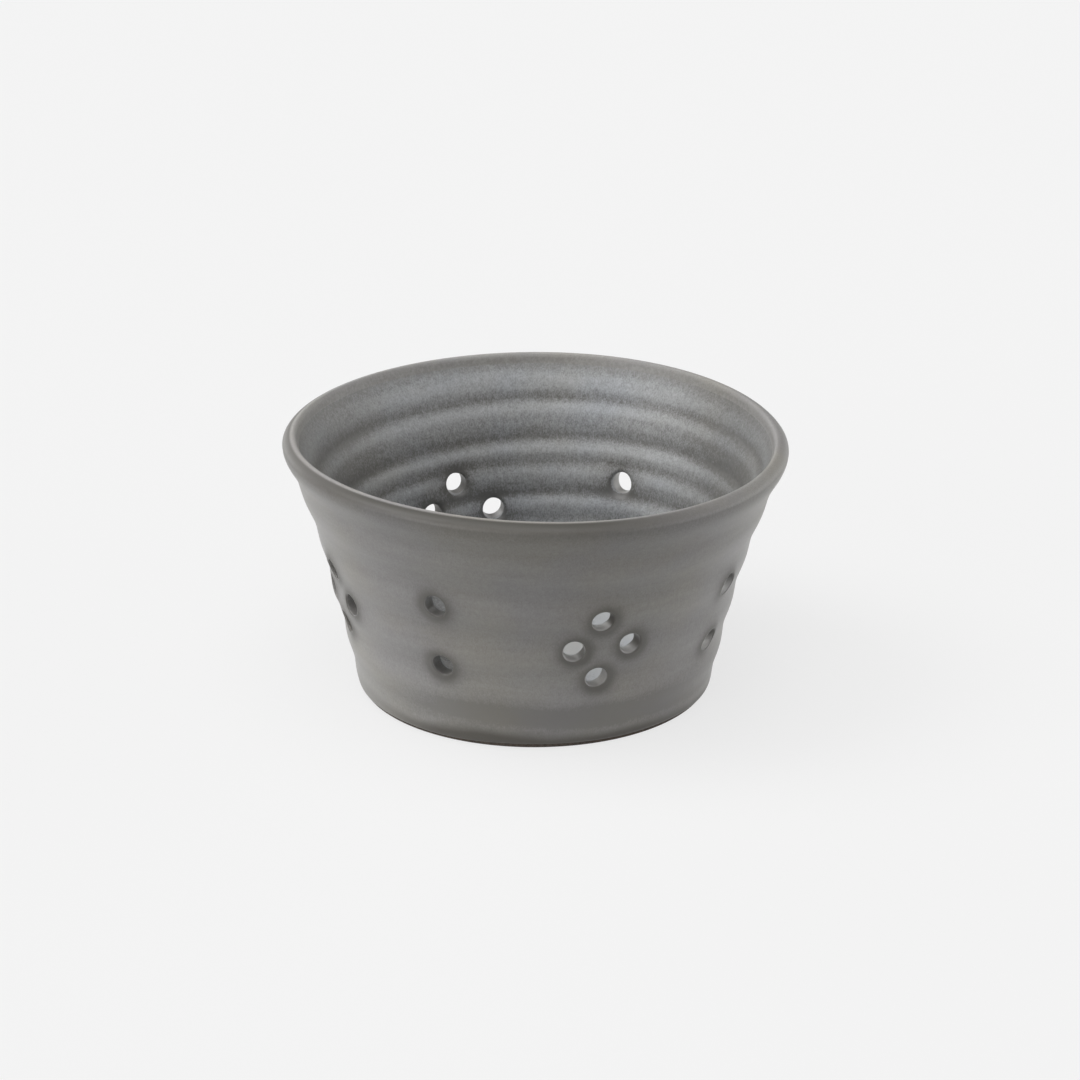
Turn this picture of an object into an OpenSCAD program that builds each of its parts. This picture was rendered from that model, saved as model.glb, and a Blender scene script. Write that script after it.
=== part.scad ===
// Hand-thrown stoneware colander bowl for rinsing and serving berries.
// It stands on z = 0 with its axis on Z, and its front faces -Y.
// The clay is one fired piece. A glaze coat lines its inside, and another covers
// its outside and its lip and stops just above the bare foot.

/* [Bowl] */
// Outer diameter at the widest point of the lip
rim_d = 140; // [125:0.5:170]
// Outer diameter at the foot
foot_d = 99.2; // [85:0.2:115]
// Height of the lip's crest above the table
bowl_h = 73.4; // [62:0.2:95]
// Share of the outward taper that waits for the flare near the lip
flare_share = 0.3; // [0:0.05:0.45]

/* [Wall] */
// Thickness of the wall at the lip
wall_rim_t = 4.6; // [4:0.1:6]
// Thickness of the wall where it meets the floor
wall_foot_t = 5.6; // [4.5:0.1:7.5]
// Height of the lip's rounding
lip_h = 2.6; // [1.5:0.1:4]
// Height over which the wall turns upright under the lip
lip_turn_h = 6; // [4:0.5:9]
// Thickness of each glaze coat
glaze_t = 0.4; // [0.2:0.05:0.6]

/* [Throwing ridges] */
// Distance between two grooves on the inside
inner_ridge_gap = 8.25; // [6:0.25:12]
// Depth of the grooves on the inside
inner_ridge_depth = 1.3; // [0.4:0.1:1.8]
// Drop from the lip's crest to the highest groove on the inside
inner_ridge_drop = 11.4; // [8:0.2:15]
// Distance between two bulges on the outside
outer_ridge_gap = 13.8; // [9:0.2:20]
// Depth of the hollows between the bulges on the outside
outer_ridge_depth = 0.5; // [0.1:0.1:1]
// Drop from the lip's crest to the highest bulge on the outside
outer_ridge_drop = 17.4; // [14:0.2:24]

/* [Floor and foot] */
// Thickness of the floor over the hollow under the bowl
floor_t = 5.4; // [4:0.1:8]
// How far the floor dips from its edge to its centre
floor_dip = 0.8; // [0:0.1:1.2]
// Radius of the round corner between the floor and the wall
cove_r = 12; // [7:0.5:16]
// Height of the foot ring
foot_ring_h = 2.8; // [1.5:0.1:5]
// Width of the face that the foot ring stands on
foot_ring_w = 7.5; // [5:0.5:12]
// Rounding of the foot ring's edges
foot_edge = 0.7; // [0.3:0.1:1.2]
// Height of the bare clay between the table and the outer glaze
bare_h = 1.5; // [1.3:0.1:3]

/* [Drain holes] */
// Diameter of a drain hole
hole_d = 6; // [4.5:0.1:7]
// Softening of each hole's mouths
mouth_soft = 1.1; // [0.4:0.1:1.2]
// Number of holes round the centre of the floor
floor_hole_count = 6; // [4:1:8]
// Diameter of the ring of holes in the floor
floor_hole_ring_d = 44; // [36:1:56]

/* [Hidden] */
$fn = 96;

// Each row is a group that the potter pierced by eye: a diamond of four holes or an upright pair, in turn.
// A hole is [degrees round from the front, height as a share of the bowl's height].
pierced_shares = [
    [[18, 0.56], [27, 0.44], [10.8, 0.433], [17.8, 0.307]],
    [[62.4, 0.55], [60.8, 0.316]],
    [[107, 0.555], [115, 0.435], [98.5, 0.44], [107.5, 0.312]],
    [[152.5, 0.54], [151.5, 0.31]],
    [[204.8, 0.533], [193.4, 0.42], [214, 0.43], [204, 0.305]],
    [[249, 0.55], [248.5, 0.32]],
    [[291, 0.561], [298, 0.447], [282.5, 0.45], [289.2, 0.335]],
    [[333.5, 0.595], [333, 0.335]]
];

// Share of the lip's thickness that lies outside its crest
crest_share = 0.74;
// Share of a ridge's spacing over which the ridges fade out at the lip and the floor
fade_share = 0.6;
// Slices between two ridges, and steps round a quarter turn, that draw the outlines
outer_ridge_steps = 9;
inner_ridge_steps = 6;
arc_steps = 4;
// Distance that a cutter runs past the face that it cuts
overrun = 2;

lip_z = bowl_h - lip_h;
floor_z = foot_ring_h + floor_t;
rim_r = rim_d / 2;
foot_r = foot_d / 2;

// Goes from 0 to 1 with level ends while t does.
function ease(t) = let (c = min(1, max(0, t))) c * c * (3 - 2 * c);

// Is 1 between low and high and falls to 0 at both over the given run.
function fade(z, low, high, run) = ease((z - low) / run) * ease((high - z) / run);

// A wave of the given depth and spacing with a crest at z = top.
function ridges(z, depth, gap, top) = depth / 2 * cos(360 * (z - top) / gap);

// The wall leans out steadily and flares towards the lip with the cube of its height.
function taper(z) = let (s = z / lip_z) (1 - flare_share) * s + flare_share * pow(s, 3);
function taper_slope(z) =
    let (s = z / lip_z) ((1 - flare_share) + 3 * flare_share * s * s) / lip_z;
function wall_lean(z) = atan((rim_r - foot_r) * taper_slope(z));

// Just under the lip the wall swells by as much as brings it upright there.
function turn_upright(z) =
    let (s = max(0, 1 - (lip_z - z) / lip_turn_h))
    (rim_r - foot_r) * taper_slope(lip_z) * lip_turn_h * s * s * (1 - s);

// Radius of the finished outside and inside, each with its ridges
function plain_r(z) = foot_r + (rim_r - foot_r) * taper(z) + turn_upright(z);
function outer_r(z) = plain_r(z)
    + ridges(z, outer_ridge_depth, outer_ridge_gap, bowl_h - outer_ridge_drop)
        * fade(z, 0, lip_z, fade_share * outer_ridge_gap);
function wall_t(z) = wall_foot_t + (wall_rim_t - wall_foot_t) * z / lip_z;
function inner_r(z) = plain_r(z) - wall_t(z)
    + ridges(z, inner_ridge_depth, inner_ridge_gap, bowl_h - inner_ridge_drop)
        * fade(z, cove_end_z, lip_z, fade_share * inner_ridge_gap);

// The cove is an arc that leaves the floor level and meets the leaning wall.
cove_lean = wall_lean(floor_z);
cove_z = floor_z + cove_r;
cove_end_z = cove_z - cove_r * sin(cove_lean);
cove_centre_r = plain_r(cove_end_z) - wall_t(cove_end_z) - cove_r * cos(cove_lean);

// Outlines in the plane of radius and height, sunk below the finished surface by the depth
outer_count = round(lip_z / outer_ridge_gap) * outer_ridge_steps;
inner_count = round((lip_z - cove_end_z) / inner_ridge_gap) * inner_ridge_steps;

function outside(depth) = [
    for (i = [0:outer_count])
        let (z = bare_h + (lip_z - bare_h) * i / outer_count) [outer_r(z) - depth, z]
];

function lip(depth) = [
    for (i = [1:2 * arc_steps - 1])
        let (
            a = 90 * i / arc_steps,
            half_w = wall_rim_t * (a < 90 ? crest_share : 1 - crest_share) - depth
        )
        [rim_r - wall_rim_t * crest_share + half_w * cos(a), lip_z + (lip_h - depth) * sin(a)]
];

function inside(depth) = [
    for (i = [inner_count:-1:1])
        let (z = cove_end_z + (lip_z - cove_end_z) * i / inner_count) [inner_r(z) + depth, z]
];

function cove(depth) = [
    for (i = [0:arc_steps])
        let (a = cove_lean + (90 - cove_lean) * i / arc_steps)
        [cove_centre_r + (cove_r + depth) * cos(a), cove_z - (cove_r + depth) * sin(a)]
];

function floor_centre(depth) = [[0, floor_z - floor_dip - depth]];

function backwards(points) = [for (i = [len(points) - 1:-1:0]) points[i]];

// The standing ring with its outer edge rounded, and the slope and hollow within it
function foot_ring() =
    let (clay_r = foot_r - glaze_t, inside_r = clay_r - foot_ring_w)
    [
        [0, foot_ring_h],
        [inside_r - foot_ring_h, foot_ring_h],
        [inside_r - foot_edge, foot_edge],
        [inside_r, 0],
        [clay_r - foot_edge, 0],
        [clay_r - foot_edge * (1 - sin(45)), foot_edge * (1 - cos(45))],
        [outer_r(foot_edge) - glaze_t, foot_edge]
    ];

// A drill for a hole of the given depth, centred on it along Z, with both its mouths softened
module clay_drill(depth) {
    half = depth / 2 - glaze_t;
    wide = hole_d / 2 + mouth_soft + overrun;
    rotate_extrude()
        polygon([
            [0, -half - overrun],
            [wide, -half - overrun],
            [hole_d / 2, -half + mouth_soft],
            [hole_d / 2, half - mouth_soft],
            [wide, half + overrun],
            [0, half + overrun]
        ]);
}

// The glaze draws back from the softened edge of a hole and leaves it bare.
module glaze_drill(depth) {
    cylinder(d = hole_d + 2 * mouth_soft, h = depth + 2 * overrun, center = true);
}

// Puts a drill of the wall's thickness at each hole in the wall, square to the wall.
module at_wall_drains(through_clay) {
    for (group = pierced_shares, hole = group) {
        z = hole[1] * bowl_h;
        lean = wall_lean(z);
        depth = wall_t(z) * cos(lean);
        rotate([0, 0, hole[0] - 90])
            translate([plain_r(z) - wall_t(z) / 2, 0, z])
                rotate([0, 90 + lean, 0])
                    if (through_clay) clay_drill(depth); else glaze_drill(depth);
    }
}

// The floor drains through its middle and through a ring of holes round it.
module at_floor_drains(through_clay) {
    ring_r = floor_hole_ring_d / 2;
    places = concat(
        [[0, 0]],
        [for (i = [0:floor_hole_count - 1]) [360 * i / floor_hole_count, ring_r]]
    );
    for (place = places) {
        depth = floor_t - floor_dip * (1 - place[1] / cove_centre_r);
        rotate([0, 0, place[0]])
            translate([place[1], 0, foot_ring_h + depth / 2])
                if (through_clay) clay_drill(depth); else glaze_drill(depth);
    }
}

// The fired clay under the glaze, with its foot ring left bare
module stoneware_body() {
    color([0.34, 0.3, 0.27])
        difference() {
            rotate_extrude()
                polygon(concat(
                    foot_ring(),
                    outside(glaze_t),
                    lip(glaze_t),
                    inside(glaze_t),
                    cove(glaze_t),
                    floor_centre(glaze_t)
                ));
            at_wall_drains(true);
            at_floor_drains(true);
        }
}

// The coat on the inside, from the lip down over the floor
module liner_glaze() {
    color([0.5, 0.53, 0.56])
        difference() {
            rotate_extrude()
                polygon(concat(
                    inside(0),
                    cove(0),
                    floor_centre(0),
                    backwards(floor_centre(glaze_t)),
                    backwards(cove(glaze_t)),
                    backwards(inside(glaze_t))
                ));
            at_wall_drains(false);
            at_floor_drains(false);
        }
}

// The coat on the outside, from just above the table up and over the lip
module outer_glaze() {
    color([0.44, 0.44, 0.43])
        difference() {
            rotate_extrude()
                polygon(concat(
                    outside(0),
                    lip(0),
                    [inside(0)[0]],
                    [inside(glaze_t)[0]],
                    backwards(lip(glaze_t)),
                    backwards(outside(glaze_t))
                ));
            at_wall_drains(false);
        }
}

stoneware_body();
liner_glaze();
outer_glaze();
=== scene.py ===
"""Looks of a hand-thrown stoneware colander bowl.

The clay and its two glaze coats are surfaces worked out from one section of the bowl: a leaning wall
with throwing ridges, a rolled lip, a cove, a dished floor and a foot ring. Each drain hole is a ring of
its own set into that surface, with soft mouths and a glazed lining. Lengths are in millimetres until a
mesh is made, and angles run round from the front (-Y) towards +X.
"""
import math

import bpy
import numpy as np
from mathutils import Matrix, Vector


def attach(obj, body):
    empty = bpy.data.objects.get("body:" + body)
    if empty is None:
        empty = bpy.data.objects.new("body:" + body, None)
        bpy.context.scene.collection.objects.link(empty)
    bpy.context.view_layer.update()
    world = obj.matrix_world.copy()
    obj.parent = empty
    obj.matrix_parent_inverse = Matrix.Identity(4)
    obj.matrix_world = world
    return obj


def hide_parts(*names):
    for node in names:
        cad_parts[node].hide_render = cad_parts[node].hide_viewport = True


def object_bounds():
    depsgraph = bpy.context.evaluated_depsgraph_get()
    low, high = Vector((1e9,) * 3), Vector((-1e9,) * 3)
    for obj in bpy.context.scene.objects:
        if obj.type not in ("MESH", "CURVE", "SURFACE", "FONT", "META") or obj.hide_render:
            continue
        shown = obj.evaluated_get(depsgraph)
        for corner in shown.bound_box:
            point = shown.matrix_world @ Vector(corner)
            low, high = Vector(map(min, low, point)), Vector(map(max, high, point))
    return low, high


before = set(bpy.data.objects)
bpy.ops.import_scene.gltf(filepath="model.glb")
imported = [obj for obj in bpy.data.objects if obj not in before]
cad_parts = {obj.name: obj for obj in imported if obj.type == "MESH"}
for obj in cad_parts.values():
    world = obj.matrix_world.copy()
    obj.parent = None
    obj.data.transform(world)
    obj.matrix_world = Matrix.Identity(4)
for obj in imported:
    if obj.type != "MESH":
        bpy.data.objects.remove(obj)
cad_low, cad_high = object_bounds()

MM = 0.001

# Sizes of the bowl
RIM_R = (cad_high[0] - cad_low[0]) / 2 / MM
BOWL_H = cad_high[2] / MM
FOOT_R = 49.6
FLARE_SHARE = 0.3
LIP_H = 2.6
LIP_Z = BOWL_H - LIP_H
LIP_TURN_H = 6.0
WALL_RIM_T = 4.6
WALL_FOOT_T = 5.6
GLAZE_T = 0.4

# The lip's section: corners of two cubic curves that meet at its narrow crest, as the distance out from
# the crest and the height over the lip's lower edge
LIP_OUT = ((3.0, 0.0), (3.0, 1.3), (1.0, 2.75), (0.0, 2.75))
LIP_IN = ((0.0, 2.75), (-0.85, 2.75), (-1.1, 1.4), (-1.6, 0.0))
CREST_R = RIM_R - LIP_OUT[0][0]
CREST_Z = LIP_Z + LIP_IN[0][1]

# Small faults of a thrown bowl at its lip: how far it tilts, twists and sags from level, how fast that
# grows up the wall, how much it is out of round, and how far it stands off to the right
LIP_TILT = 0.88
LIP_TWIST = 0.56
LIP_SAG = 0.17
RISE_POWER = 1.5
OVAL_ASLANT = 0.0032
OVAL_ACROSS = 0.0049
LIP_ASIDE = 0.3

# The inside's throwing creases, turn by turn down one spiral: (height at the right, height at the left,
# strength), with the degrees round of those two places. Each crease is steep below and long above. The
# glaze is dark in the crease as painted shade, and pale in a bell below it, partly as glaze pooling and
# partly as painted light. Its line is the mean of three that are turned by the spread.
CREASES = (
    (67.5, 67.0, 0.0),
    (63.3, 59.6, 0.9),
    (53.3, 47.8, 1.1),
    (46.6, 41.5, 0.7),
    (38.5, 32.0, 1.0),
    (30.5, 26.0, 0.6),
    (24.0, 20.5, 0.5),
    (19.5, 18.5, 0.0),
)
CREASE_TURNS = (105, 250)
CREASE_SPREAD = (-0.5, 0, 0.5)
CREASE_DEPTH = 0.9
CREASE_MEAN = 0.4
CREASE_ABOVE = 4.0
CREASE_BELOW = 1.6
CREASE_SOFT = 0.35
CREASE_TURN = 1.5
CREASE_FADE = 5.0
PALE_BELOW = 2.6
PALE_WIDE = 1.5

# The outside's throwing bulges
OUTER_GAP = 13.8
OUTER_DEPTH = 0.55
OUTER_TOP = BOWL_H - 17.4
OUTER_TILT = 1.3
FADE_SHARE = 0.6

# Floor with its thrower's spiral, cove, and foot
FLOOR_T = 5.4
FLOOR_DIP = 0.8
SPIRAL_DEPTH = 0.16
SPIRAL_GAP = 7.5
SPIRAL_FADE = 8
COVE_R = 12.0
FOOT_RING_H = 2.8
FOOT_RING_W = 7.5
FOOT_EDGE = 0.9
FOOT_SLOPE_RUN = 0.4
FLOOR_Z = FOOT_RING_H + FLOOR_T

# The outer glaze's lower edge: its height, the height of its rounding with the rows that draw it and how
# far it thins, and the slow waves in it as (height, times round, start), which fade out upwards
BARE_H = 1.3
GLAZE_ROLL = 0.9
ROLL_ROWS = (0, 0.1, 0.28, 0.55)
ROLL_THINNING = 0.75
EDGE_WAVES = ((0.16, 3, 1), (0.1, 7, 2))
EDGE_WAVE_FADE = 4

# Drain holes: the bore, the rounding of its mouths outside and inside, the ring of plain face round them,
# how far a hole is out of round, and for each hole in the wall (degrees round from the front, height as a
# share of the bowl's height)
HOLE_R = 3.0
MOUTH_OUT_R = 0.7
MOUTH_IN_R = 1.2
APRON_R = 4.4
HOLE_OVAL = 0.03
PIERCED_SHARES = (
    ((18, 0.56), (27, 0.44), (10.8, 0.433), (17.8, 0.307)),
    ((62.4, 0.55), (60.8, 0.316)),
    ((107, 0.555), (115, 0.435), (98.5, 0.44), (107.5, 0.312)),
    ((152.5, 0.54), (151.5, 0.31)),
    ((204.8, 0.533), (193.4, 0.42), (214, 0.43), (204, 0.305)),
    ((249, 0.55), (248.5, 0.32)),
    ((291, 0.561), (298, 0.447), (282.5, 0.45), (289.2, 0.335)),
    ((333.5, 0.595), (333, 0.335)),
)
# The holes are pierced from within, which raises the wall round them outside and sinks it inside.
RAISED_OUT = 1.2
SUNK_IN = 0.9
PUSHED_R = 4.0
PUSHED_MOST = 1.2
# The glaze is thin and dark round a hole. Outside, painted shade makes it darker below the hole and on its side
# away from the front.
SHADE_ASIDE = 0.6
SHADE_DOWN = 0.5
HALO_REACH = 2.4
LINING_EDGE = 0.25
LINING_RUN = 0.2
FLOOR_REACH = 1.5
FLOOR_HOLES = 6
FLOOR_HOLE_RING_R = 22.0
UNDER_R = FLOOR_HOLE_RING_R + 12.0

# Fineness of the surface: columns round the bowl, the size of a cell, points along each curve, rings in a
# hole's mouth and bore, points in such a ring and where it starts, and the patch of cells that a hole's
# own rings take the place of
COLUMNS = 384
STEP = 1.0
HOLLOW_POINTS = 4
SLOPE_POINTS = 12
EDGE_POINTS = 7
LIP_POINTS = 13
COVE_POINTS = 15
MOUTH_STEPS = 5
BORE_STEPS = 5
DISC_GAP = 1.2 * STEP
RING_POINTS = 40
RING_START = 0.53
RING_TURN = -np.pi + 2 * np.pi * (np.arange(RING_POINTS) + RING_START) / RING_POINTS
CUT_R = 4.7
RING_R = 5.05


def ease(t):
    """Goes from 0 to 1 with level ends while t does."""
    c = np.clip(t, 0, 1)
    return c * c * (3 - 2 * c)


def fade(z, low, high, run):
    """Is 1 between low and high and falls to 0 at both over the given run."""
    return ease((z - low) / run) * ease((high - z) / run)


def wall_slope(z):
    """How much the wall's plain line moves out for each millimetre up."""
    s = z / LIP_Z
    return (RIM_R - FOOT_R) * ((1 - FLARE_SHARE) + 3 * FLARE_SHARE * s * s) / LIP_Z


def leaning_r(z):
    """Radius of a wall that leans out and flares with the cube of its height."""
    s = z / LIP_Z
    return FOOT_R + (RIM_R - FOOT_R) * ((1 - FLARE_SHARE) * s + FLARE_SHARE * s**3)


def plain_r(z):
    """Radius of the outside without its ridges: the leaning wall, which just under the lip swells by a
    cubic bump, as much as brings it upright there."""
    u = np.clip(1 - (LIP_Z - z) / LIP_TURN_H, 0, 1)
    return leaning_r(z) + wall_slope(LIP_Z) * LIP_TURN_H * u * u * (1 - u)


def wall_lean(z):
    """Lean of the wall from upright, in radians."""
    return np.arctan(wall_slope(z))


def wall_t(z):
    """Level thickness of the wall, which thins steadily from the foot to the lip."""
    return WALL_FOOT_T + (WALL_RIM_T - WALL_FOOT_T) * z / LIP_Z


def bore_r(z):
    """Radius of the inside without its ridges."""
    return leaning_r(z) - wall_t(z)


COVE_LEAN = float(wall_lean(FLOOR_Z))
COVE_Z = FLOOR_Z + COVE_R
COVE_END_Z = COVE_Z - COVE_R * math.sin(COVE_LEAN)
COVE_CENTRE_R = float(bore_r(COVE_END_Z)) - COVE_R * math.cos(COVE_LEAN)
# The wall's sheet runs on over the floor's edge with two rings.
FLOOR_RINGS_R = (COVE_CENTRE_R - STEP, COVE_CENTRE_R - STEP - DISC_GAP)


def outer_ridges(theta, z):
    """Swelling of the outside: a cosine down the wall whose rings sit higher on the left."""
    phase = 2 * np.pi * (z - OUTER_TOP + OUTER_TILT * np.sin(theta)) / OUTER_GAP
    return OUTER_DEPTH / 2 * np.cos(phase) * fade(z, 0, LIP_Z, FADE_SHARE * OUTER_GAP)


def creases(theta, z):
    """How deep in a crease each point of the inside lies, and how pale the glaze is there. The crease's
    height runs along the spiral between the heights given at the right and at the left. From its line
    the depth falls off exponentially, fast below and slowly above. The glaze is dark in the crease, partly
    as painted shade, and pale in a bell just below it, partly as painted light."""
    table = np.array(CREASES)
    nodes = np.radians(np.add.outer(360 * np.arange(len(table)), CREASE_TURNS)).ravel()
    depth, pale = np.zeros(np.broadcast(theta, z).shape), np.zeros(np.broadcast(theta, z).shape)
    for i in range(len(table) + 1):
        along = np.mod(theta, 2 * np.pi) + 2 * np.pi * i
        lines = [np.interp(along + lag, nodes, table[:, :2].ravel()) for lag in CREASE_SPREAD]
        line = sum(lines) / len(lines)
        strength = np.interp(along, nodes, np.repeat(table[:, 2], 2))
        above = z - line
        reach = CREASE_BELOW + (CREASE_ABOVE - CREASE_BELOW) * ease(above / CREASE_TURN + 0.5)
        far = np.hypot(above, CREASE_SOFT) - CREASE_SOFT
        depth += strength * np.exp(-far / reach)
        # Painted shade in the crease and painted light in the bell below it, partly glaze pooling.
        pale += strength * (np.exp(-(((above + PALE_BELOW) / PALE_WIDE) ** 2)) - np.exp(-2 * far / reach))
    return depth, np.clip(pale, -1, 1)


def inner_ridges(theta, z):
    """Hollowing of the inside by its creases, which fade out at the lip and the cove."""
    return (CREASE_DEPTH * creases(theta, z)[0] - CREASE_MEAN) * fade(z, COVE_END_Z, LIP_Z, CREASE_FADE)


def wall_holes():
    """Turn and height of each hole in the wall. The holes run level through it."""
    table = np.array([hole for group in PIERCED_SHARES for hole in group], float)
    return np.radians(table[:, 0]), table[:, 1] * BOWL_H


TURN, HOLE_Z = wall_holes()
FLOOR_HOLE_PLACES = [(0.0, 0.0)] + [
    (FLOOR_HOLE_RING_R * math.cos(a), FLOOR_HOLE_RING_R * math.sin(a))
    for a in 2 * np.pi * np.arange(FLOOR_HOLES) / FLOOR_HOLES
]


def turn_from(theta, centre):
    """Angle from centre to theta, from -pi to pi."""
    return (theta - centre + np.pi) % (2 * np.pi) - np.pi


def pushed(theta, z):
    """How far the wall is pushed out round the holes: the sum of a bell round each mouth, held down where
    bells overlap."""
    total = np.zeros(np.broadcast(theta, z).shape)
    for turn, height in zip(TURN, HOLE_Z):
        across = turn_from(theta, turn) * plain_r(height)
        total += np.exp(-(across**2 + (z - height) ** 2) / PUSHED_R**2)
    return np.minimum(total, PUSHED_MOST)


def lip_rise(theta):
    """How far the lip stands above or below its mean height at each turn: a sine once round, and a sine
    and a cosine twice round."""
    return -LIP_TILT * np.sin(theta) - LIP_TWIST * np.sin(2 * theta) + LIP_SAG * np.cos(2 * theta)


def oval(theta, up):
    """How much wider than round the bowl is at each turn: a wave twice round that grows steadily up."""
    return 1 + up * (OVAL_ASLANT * np.sin(2 * theta) - OVAL_ACROSS * np.cos(2 * theta))


def place(theta, r, z):
    """A point of the bowl at the given turn, radius and height, with the thrown bowl's small faults:
    a lip that is not quite level or round, and a slight lean to the right."""
    up = np.clip(z / BOWL_H, 0, 1)
    wide = r * oval(theta, up)
    x = wide * np.sin(theta) + LIP_ASIDE * up
    return np.stack([x, -wide * np.cos(theta), z + lip_rise(theta) * up**RISE_POWER], -1)


def outer_point(theta, z, depth):
    """A point of the outside, sunk by depth."""
    r = plain_r(z) + outer_ridges(theta, z) + RAISED_OUT * pushed(theta, z) - depth
    return place(theta, r, z)


def inner_point(theta, z, depth):
    """A point of the inside, sunk by depth into the wall."""
    r = bore_r(z) + inner_ridges(theta, z) + SUNK_IN * pushed(theta, z) + depth
    return place(theta, r, z)


def floor_point(x, y, depth):
    """A point of the floor: a shallow cone towards its middle, with the thrower's spiral on it."""
    r = np.hypot(x, y)
    turn = np.arctan2(x, -y)
    spiral = SPIRAL_DEPTH * np.cos(2 * np.pi * r / SPIRAL_GAP - turn)
    spiral = spiral * ease((COVE_CENTRE_R - r) / SPIRAL_FADE) * ease(r / SPIRAL_FADE)
    z = FLOOR_Z - FLOOR_DIP * (1 - np.minimum(r / COVE_CENTRE_R, 1)) + spiral - depth
    return np.stack([x, y, z], -1)


def under_point(x, y):
    """A point of the hollow under the floor, which is bare clay."""
    return np.stack([x, y, FOOT_RING_H + np.zeros_like(x)], -1)


class Surface:
    """Points and faces gathered piece by piece. A face's region says what covers it."""

    def __init__(self):
        self.points, self.quads, self.tris = [], [], []
        self.quad_regions, self.tri_regions = [], []
        self.count = 0

    def add_points(self, points):
        """Adds points of any leading shape and returns their numbers in that shape."""
        shape = points.shape[:-1]
        numbers = self.count + np.arange(int(np.prod(shape))).reshape(shape)
        self.points.append(points.reshape(-1, 3))
        self.count += numbers.size
        return numbers

    def add_quads(self, quads, region):
        self.quads.append(quads.reshape(-1, 4))
        self.quad_regions.append(np.broadcast_to(region, quads.shape[:-1]).reshape(-1))

    def add_tris(self, tris, region):
        self.tris.append(tris)
        self.tri_regions.append(np.full(len(tris), region))

    def arrays(self):
        return (
            np.concatenate(self.points),
            np.concatenate(self.quads),
            np.concatenate(self.tris),
            np.concatenate(self.quad_regions),
            np.concatenate(self.tri_regions),
        )


BARE, LINER, OUTER = 0, 1, 2


def round_grid(numbers):
    """Quads of a grid of points whose columns close into a ring."""
    after = np.roll(numbers, -1, axis=1)
    return np.stack([numbers[:-1], after[:-1], after[1:], numbers[1:]], -1)


def reached(turn, at, side):
    """Number of the ring point whose share of the full turn holds each angle in at. A point's share runs
    from the middle of the edge before it to the middle of the edge after it."""
    middles = (turn + np.append(turn[1:], turn[0] + 2 * np.pi)) / 2
    wrapped = middles[-1] - (middles[-1] - at) % (2 * np.pi)
    return np.searchsorted(middles, wrapped, side=side) % len(turn)


def zipper(ring_a, turn_a, ring_b, turn_b):
    """Triangles between two closed rings of points that run the same way round.
    Each edge of a ring joins the point that the other ring has reached by the middle of that edge."""
    middle_a = (turn_a + np.append(turn_a[1:], turn_a[0] + 2 * np.pi)) / 2
    middle_b = (turn_b + np.append(turn_b[1:], turn_b[0] + 2 * np.pi)) / 2
    to_b = ring_b[reached(turn_b, middle_a, "left")]
    to_a = ring_a[reached(turn_a, middle_b, "right")]
    along_a = np.stack([ring_a, np.roll(ring_a, -1), to_b], -1)
    along_b = np.stack([np.roll(ring_b, -1), ring_b, to_a], -1)
    return np.concatenate([along_a, along_b])


def ring_round(patch, x, y):
    """Rows and columns of the grid points round a patch of cells, in order of their turn about the
    patch's centre, and those turns."""
    padded = np.zeros((patch.shape[0] + 2, patch.shape[1]), int)
    padded[1:-1] = patch
    stacked = padded[:-1] + padded[1:]
    touching = stacked + np.roll(stacked, 1, axis=1)
    rows, columns = np.nonzero((touching > 0) & (touching < 4))
    turn = np.arctan2(y[rows, columns], x[rows, columns])
    order = np.argsort(turn)
    return rows[order], columns[order], turn[order]


def pierce_wall(theta, z, radii):
    """Opens the grid of a wall at each hole. The cells about the hole's centre go, and the points left
    round them are drawn onto a circle, which changes theta and z. Returns the cells that stay, and the
    rows, columns and turns of the points round each hole."""
    kept = np.ones((len(z) - 1, COLUMNS), bool)
    rings = []
    for turn, height, radius in zip(TURN, HOLE_Z, radii):
        x, y = turn_from(theta, turn) * radius, z - height
        patch = np.hypot(x[:-1] + np.pi / COLUMNS * radius, (y[:-1] + y[1:]) / 2) < CUT_R
        kept &= ~patch
        rows, columns, ring_turn = ring_round(patch, x, y)
        theta[rows, columns] = turn + RING_R * np.cos(ring_turn) / radius
        z[rows, columns] = height + RING_R * np.sin(ring_turn)
        rings.append((rows, columns, ring_turn))
    return kept, rings


def mouth(size, depth):
    """Radius and sinking of the rings of a hole's soft mouth, from its face into the hole.
    The mouth is a quarter circle about one centre, whatever the depth of the coat, with one ring of
    plain face outside it."""
    a = np.linspace(0, np.pi / 2, MOUTH_STEPS + 1)
    radii = np.append(APRON_R, HOLE_R + size - (size - depth) * np.sin(a))
    return radii, np.append(0, (size - depth) * (1 - np.cos(a)))


def cubic(corners, t, depth):
    """Points of a cubic curve with the given corners, sunk by depth square to the curve."""
    a, b, c, d = np.array(corners)[:, None]
    s, t = 1 - t[:, None], t[:, None]
    point = s**3 * a + 3 * s * s * t * b + 3 * s * t * t * c + t**3 * d
    along = s * s * (b - a) + 2 * s * t * (c - b) + t * t * (d - c)
    square = along[:, ::-1] * (1, -1) / np.linalg.norm(along, axis=1, keepdims=True)
    return point - depth * square


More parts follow.
